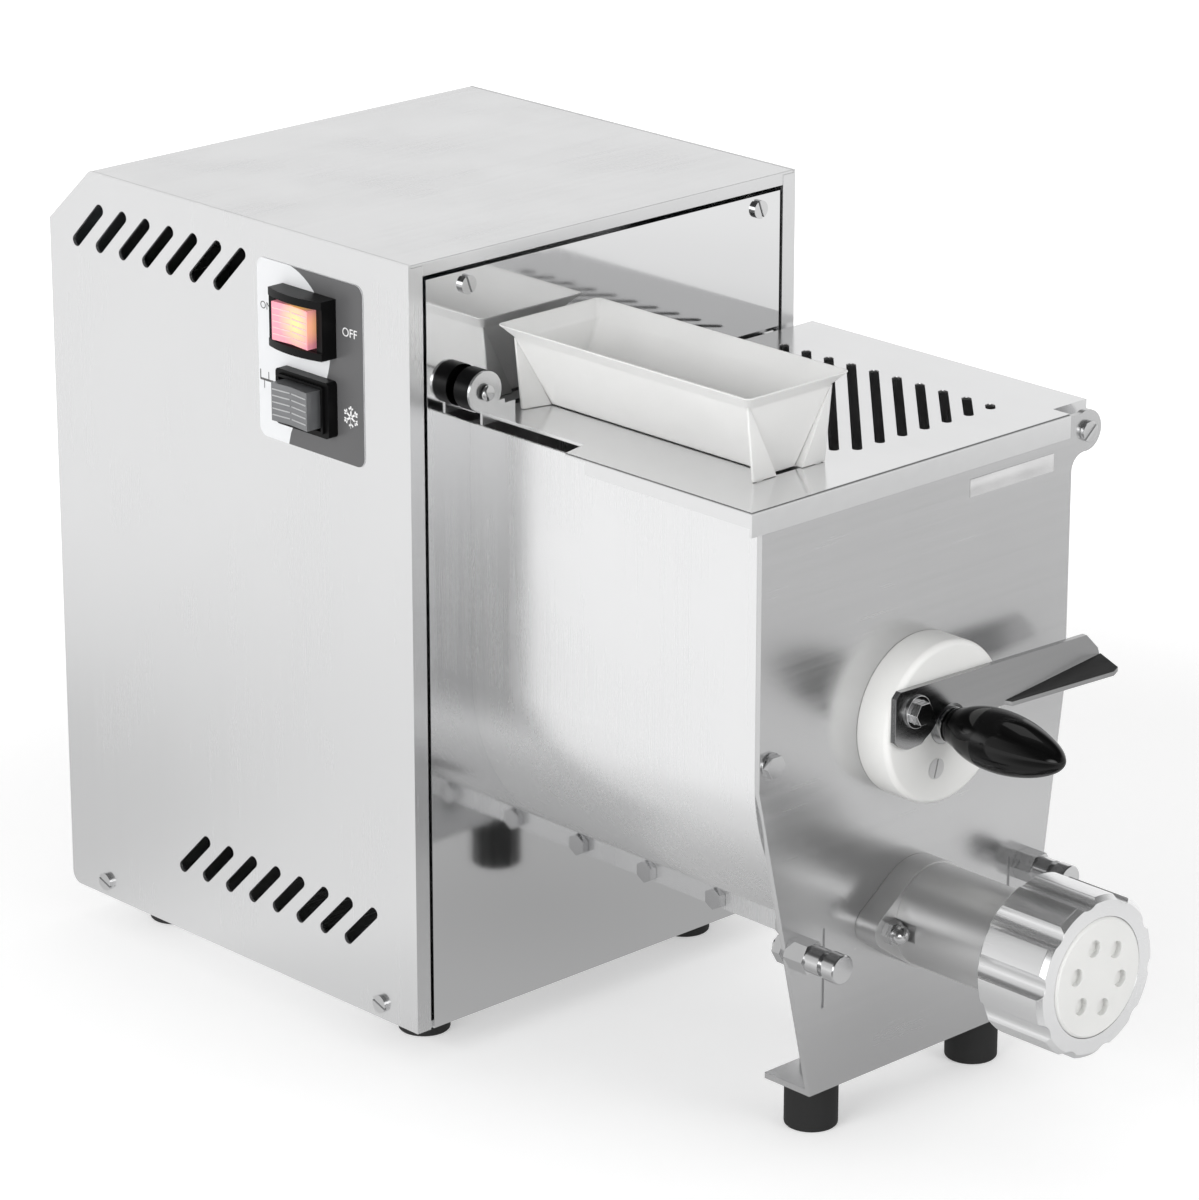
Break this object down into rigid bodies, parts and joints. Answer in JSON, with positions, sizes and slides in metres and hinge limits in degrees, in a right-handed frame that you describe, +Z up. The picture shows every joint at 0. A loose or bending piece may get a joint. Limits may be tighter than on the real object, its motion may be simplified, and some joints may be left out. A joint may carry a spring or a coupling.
{
  "type": "electric pasta extruder",
  "caption": "Countertop stainless pasta machine: motor housing with switches, mixing trough with slotted lid and hopper, screw extruder with ring nut and locking lever.",
  "frame": {"origin": "centre of the footprint, on the worktop under the feet", "axes": "+Z up, -Y towards the extruder end, -X towards the switches"},
  "size_m": [0.275, 0.5846, 0.398],
  "materials": {
    "panel_steel": "satin",
    "mirror_steel": "polished",
    "satin_steel": "satin",
    "turned_steel": "turned satin",
    "fastener_steel": "bright",
    "foot_rubber": "matte",
    "label_film": "satin",
    "switch_black": "satin",
    "rocker_red": "gloss",
    "rocker_grey": "gloss",
    "cable_black": "matte",
    "terminal_white": "matte",
    "case_alloy": "cast",
    "motor_paint": "satin",
    "gear_steel": "oiled",
    "bush_bronze": "satin",
    "white_plastic": "satin",
    "grip_black": "gloss"
  },
  "bodies": {
    "frame": {"left_side_panel": "panel_steel", "right_side_panel": "panel_steel", "top_back_cover": "panel_steel", "base_plate": "panel_steel", "front_panel": "mirror_steel", "front_plate": "satin_steel", "trough_left_half": "satin_steel", "trough_right_half": "satin_steel", "trough_back_plate": "satin_steel", "keel_bar": "satin_steel", "extruder_barrel": "turned_steel", "panel_screws": "fastener_steel", "foot_nuts": "fastener_steel", "keel_bolts": "fastener_steel", "plate_bolts": "fastener_steel", "bush_screws": "fastener_steel", "lever_bolt": "fastener_steel", "accessory_studs": "fastener_steel", "dome_nuts": "fastener_steel", "hinge_screws": "fastener_steel", "housing_feet": "foot_rubber", "front_feet": "foot_rubber", "shaft_seals": "foot_rubber", "control_label": "label_film", "power_switch_body": "switch_black", "direction_switch_body": "switch_black", "cable_gland": "cable_black", "fan_cowl": "cable_black", "motor_capacitor": "cable_black", "lid_sensor": "cable_black", "terminal_block": "terminal_white", "gearbox_case": "case_alloy", "gearbox_cover": "case_alloy", "motor_end_shield": "case_alloy", "motor_body": "motor_paint", "shaft_bearings": "gear_steel", "bush_sleeve": "bush_bronze", "front_bush": "white_plastic"},
    "lid": {"lid": "satin_steel", "interlock_magnet": "grip_black"},
    "tray": {"tray": "white_plastic"},
    "power_rocker": {"power_rocker": "rocker_red"},
    "direction_rocker": {"direction_rocker": "rocker_grey"},
    "lock_lever": {"lock_lever": "satin_steel"},
    "lock_pin": {"lock_pin": "turned_steel", "handle_grip": "grip_black"},
    "die_plug": {"die_plug": "white_plastic"},
    "ring_nut": {"ring_nut": "turned_steel"},
    "mixer": {"mixing_shaft": "turned_steel", "mixing_paddles": "turned_steel", "mixing_gear": "gear_steel"},
    "auger": {"auger_shaft": "turned_steel", "auger_flight": "turned_steel", "auger_gear": "gear_steel"},
    "idler": {"idler_shaft": "gear_steel", "idler_gear": "gear_steel", "idler_pinion": "gear_steel"},
    "rotor": {"rotor_shaft": "gear_steel", "rotor_pinion": "gear_steel", "motor_fan": "cable_black"}
  },
  "joints": [
    {"name": "lid_hinge", "type": "hinge", "parent": "frame", "child": "lid", "pos_m": [0.12775, -0.07775, 0.309], "axis": [0, 1, 0], "range_deg": [0, 95]},
    {"name": "tray_lift", "type": "slide", "parent": "lid", "child": "tray", "axis": [0, 0, 1], "range_m": [0, 0.06]},
    {"name": "power_switch", "type": "hinge", "parent": "frame", "child": "power_rocker", "pos_m": [-0.12125, 0.08125, 0.358], "axis": [0, 0, 1], "range_deg": [-9, 0]},
    {"name": "direction_switch", "type": "hinge", "parent": "frame", "child": "direction_rocker", "pos_m": [-0.12125, 0.08125, 0.319], "axis": [0, 0, 1], "range_deg": [-9, 0]},
    {"name": "lever_swing", "type": "hinge", "parent": "frame", "child": "lock_lever", "pos_m": [-0.00795, -0.19775, 0.211], "axis": [0, -1, 0], "range_deg": [0, 35]},
    {"name": "pin_pull", "type": "slide", "parent": "frame", "child": "lock_pin", "axis": [0, -1, 0], "range_m": [0, 0.03]},
    {"name": "nut_turn", "type": "hinge", "parent": "die_plug", "child": "ring_nut", "pos_m": [0.01475, -0.26775, 0.103], "axis": [0, -1, 0], "range_deg": [0, 1080]},
    {"name": "plug_travel", "type": "slide", "parent": "frame", "child": "die_plug", "axis": [0, -1, 0], "range_m": [0, 0.012]},
    {"name": "mixer_spin", "type": "hinge", "parent": "frame", "child": "mixer", "pos_m": [0.01475, -0.07775, 0.199], "axis": [0, 1, 0], "continuous": true},
    {"name": "auger_spin", "type": "hinge", "parent": "frame", "child": "auger", "pos_m": [0.01475, -0.07775, 0.103], "axis": [0, 1, 0], "continuous": true},
    {"name": "idler_spin", "type": "hinge", "parent": "frame", "child": "idler", "pos_m": [0.01475, 0.05225, 0.267], "axis": [0, 1, 0], "continuous": true},
    {"name": "rotor_spin", "type": "hinge", "parent": "frame", "child": "rotor", "pos_m": [0.01475, 0.11225, 0.3195], "axis": [0, 1, 0], "continuous": true}
  ],
  "couplings": [
    {"joint": "auger_spin", "follows": "mixer_spin", "ratio": -1.2857},
    {"joint": "idler_spin", "follows": "mixer_spin", "ratio": -3.8571},
    {"joint": "rotor_spin", "follows": "mixer_spin", "ratio": 15.429},
    {"joint": "plug_travel", "follows": "nut_turn", "m_per_rad": 0.00063662}
  ]
}
